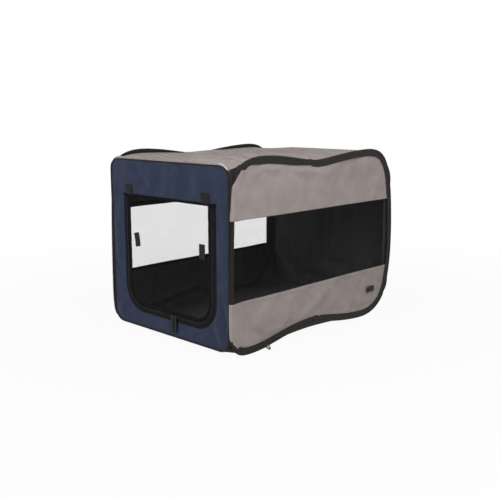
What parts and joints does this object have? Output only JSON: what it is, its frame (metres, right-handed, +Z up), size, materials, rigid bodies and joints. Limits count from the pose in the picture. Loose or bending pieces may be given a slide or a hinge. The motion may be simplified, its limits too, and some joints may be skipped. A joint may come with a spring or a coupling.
{
  "type": "soft folding dog crate",
  "caption": "Soft-sided pop-up dog crate: sprung side frames with net windows, cloth roof, floor and end walls, and a zipped net door in the front.",
  "frame": {"origin": "middle of the flat underside of the floor, on the ground", "axes": "+X to the crate's right side, as seen by someone who looks at the door from the front; -Y is the front wall's outward direction; +Z up"},
  "size_m": [0.4723, 0.6471, 0.464],
  "materials": {
    "spring_steel": "drawn wire",
    "black_tape": "woven polyester tape",
    "grey_cloth": "coated polyester, plain weave",
    "navy_cloth": "coated polyester, plain weave",
    "dark_cloth": "coated polyester, plain weave",
    "black_net": "knitted mesh",
    "black_nylon": "nylon coil",
    "zip_metal": "black enamelled die casting"
  },
  "bodies": {
    "shell": {"roof_panel": "grey_cloth", "floor_panel": "dark_cloth", "front_panel": "navy_cloth", "front_piping": "black_tape", "front_edge_wire": "spring_steel", "zip_tape_frame": "black_tape", "zip_coil_frame": "black_nylon", "rear_panel": "navy_cloth", "rear_piping": "black_tape", "rear_edge_wire": "spring_steel"},
    "right_side": {"right_loop_wire": "spring_steel", "right_ferrule": "spring_steel", "right_binding": "black_tape", "right_upper_panel": "grey_cloth", "right_window": "black_net", "right_lower_panel": "grey_cloth", "label_patch": "black_tape"},
    "left_side": {"left_loop_wire": "spring_steel", "left_ferrule": "spring_steel", "left_binding": "black_tape", "left_upper_panel": "grey_cloth", "left_window": "black_net", "left_lower_panel": "grey_cloth"},
    "door": {"door_net": "black_net", "zip_tape_door": "black_tape", "zip_coil_door": "black_nylon", "door_tab_left": "black_tape", "door_tab_right": "black_tape"},
    "strap_left": {"door_strap_left": "black_tape"},
    "strap_right": {"door_strap_right": "black_tape"},
    "slider_left": {"zip_slider_left": "zip_metal"},
    "slider_right": {"zip_slider_right": "zip_metal"},
    "pull_left": {"zip_pull_left": "black_tape"},
    "pull_right": {"zip_pull_right": "black_tape"},
    "stow": {"stow_loop": "black_tape"}
  },
  "joints": [
    {"name": "side_fold", "type": "slide", "parent": "shell", "child": "right_side", "axis": [1, 0, 0], "range_m": [-0.18, 0], "stiffness_N_per_m": 40, "springref_m": 0.05, "deforming": ["roof_panel", "floor_panel", "front_panel", "front_piping", "front_edge_wire", "zip_tape_frame", "zip_coil_frame", "rear_panel", "rear_piping", "rear_edge_wire", "door_net", "zip_tape_door", "zip_coil_door", "door_tab_left", "door_tab_right"]},
    {"name": "side_fold_left", "type": "slide", "parent": "shell", "child": "left_side", "axis": [-1, 0, 0], "range_m": [-0.18, 0]},
    {"name": "door_hinge", "type": "hinge", "parent": "shell", "child": "door", "pos_m": [0.0045, -0.3202, 0.355], "axis": [-1, 0, 0], "range_deg": [0, 150]},
    {"name": "strap_left_hinge", "type": "hinge", "parent": "shell", "child": "strap_left", "pos_m": [-0.1435, -0.3208, 0.3813], "axis": [-1, 0, 0], "range_deg": [0, 160]},
    {"name": "strap_right_hinge", "type": "hinge", "parent": "shell", "child": "strap_right", "pos_m": [0.1435, -0.3208, 0.3813], "axis": [-1, 0, 0], "range_deg": [0, 160]},
    {"name": "zip_left", "type": "slide", "parent": "shell", "child": "slider_left", "axis": [-1, 0, 0], "range_m": [0, 0.11]},
    {"name": "zip_right", "type": "slide", "parent": "shell", "child": "slider_right", "axis": [1, 0, 0], "range_m": [0, 0.065]},
    {"name": "pull_left_hinge", "type": "hinge", "parent": "slider_left", "child": "pull_left", "pos_m": [0.0212, -0.3237, 0.064], "axis": [-1, 0, 0], "range_deg": [0, 150]},
    {"name": "pull_right_hinge", "type": "hinge", "parent": "slider_right", "child": "pull_right", "pos_m": [0.0328, -0.3237, 0.064], "axis": [-1, 0, 0], "range_deg": [0, 150]},
    {"name": "stow_hinge", "type": "hinge", "parent": "right_side", "child": "stow", "pos_m": [0.2293, -0.205, 0.01144], "axis": [0, -1, 0], "range_deg": [0, 90]}
  ],
  "couplings": [
    {"joint": "side_fold_left", "follows": "side_fold", "ratio": 1}
  ]
}
